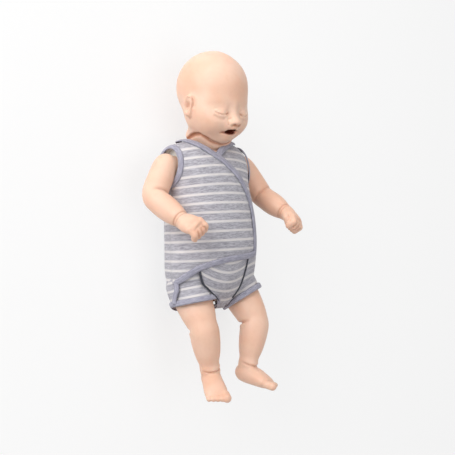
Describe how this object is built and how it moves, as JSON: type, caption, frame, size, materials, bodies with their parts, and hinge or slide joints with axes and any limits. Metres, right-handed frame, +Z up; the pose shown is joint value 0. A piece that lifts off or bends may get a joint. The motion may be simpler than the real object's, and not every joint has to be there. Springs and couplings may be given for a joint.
{
  "type": "cpr training manikin",
  "caption": "Infant resuscitation training manikin lying on its back in a sleeveless wrap-front suit, with a nodding head, swivelling limbs and a sprung chest.",
  "frame": {"origin": "centre of the flat of the suit's back, on the floor", "axes": "+X to the manikin's left, +Y to the crown of its head, +Z up out of its chest"},
  "size_m": [0.2596, 0.5499, 0.1607],
  "materials": {
    "skin": "semi-matt soft vinyl",
    "knit": "striped heather jersey",
    "binding": "plain ribbed jersey",
    "shell": "moulded",
    "frame_plastic": "moulded",
    "insert": "moulded",
    "steel": "zinc plated",
    "spring_steel": "oiled",
    "dark_plastic": "moulded",
    "battery_wrap": "shrunk sleeve",
    "board": "solder mask",
    "film": "welded film"
  },
  "bodies": {
    "torso": {"back_shell": "shell", "chest_skin": "skin", "base_plate": "frame_plastic", "base_screws": "steel", "compression_spring": "spring_steel", "battery_tray": "dark_plastic", "batteries": "battery_wrap", "battery_lid": "dark_plastic", "circuit_board": "board", "neck_pin": "steel", "suit_back_panel": "knit", "wrap_front_panel": "knit", "under_front_panel": "knit", "crotch_panel": "knit", "neckline_binding": "binding", "under_neckline_binding": "binding", "wrap_hem_binding": "binding", "back_neckline_binding": "binding", "armhole_binding_left": "binding", "armhole_binding_right": "binding"},
    "chest": {"chest_plate": "frame_plastic", "lung_bag": "film"},
    "head": {"head_skin": "skin", "skull_shell": "shell", "mouth_funnel": "insert", "airway_tube": "insert"},
    "arm_left": {"arm_left": "skin", "arm_flange_left": "frame_plastic"},
    "arm_right": {"arm_right": "skin", "arm_flange_right": "frame_plastic"},
    "leg_left": {"leg_left": "skin", "leg_flange_left": "frame_plastic", "leg_tube_left": "knit", "leg_cuff_left": "binding"},
    "leg_right": {"leg_right": "skin", "leg_flange_right": "frame_plastic", "leg_tube_right": "knit", "leg_cuff_right": "binding"}
  },
  "joints": [
    {"name": "neck_nod", "type": "hinge", "parent": "torso", "child": "head", "pos_m": [0, 0.117, 0.056], "axis": [-1, 0, 0], "range_deg": [-4, 30]},
    {"name": "shoulder_left", "type": "hinge", "parent": "torso", "child": "arm_left", "pos_m": [0.08, 0.086, 0.057], "axis": [-1, 0, 0], "range_deg": [-20, 120]},
    {"name": "shoulder_right", "type": "hinge", "parent": "torso", "child": "arm_right", "pos_m": [-0.08, 0.086, 0.057], "axis": [-1, 0, 0], "range_deg": [-20, 120]},
    {"name": "hip_left", "type": "hinge", "parent": "torso", "child": "leg_left", "pos_m": [0.047, -0.106, 0.057], "axis": [-1, 0, 0], "range_deg": [-35, 25]},
    {"name": "hip_right", "type": "hinge", "parent": "torso", "child": "leg_right", "pos_m": [-0.047, -0.106, 0.057], "axis": [-1, 0, 0], "range_deg": [-35, 25]},
    {"name": "chest_press", "type": "slide", "parent": "torso", "child": "chest", "axis": [0, 0, -1], "range_m": [0, 0.038], "stiffness_N_per_m": 2500, "springref_m": -0.002, "deforming": ["compression_spring"]}
  ]
}
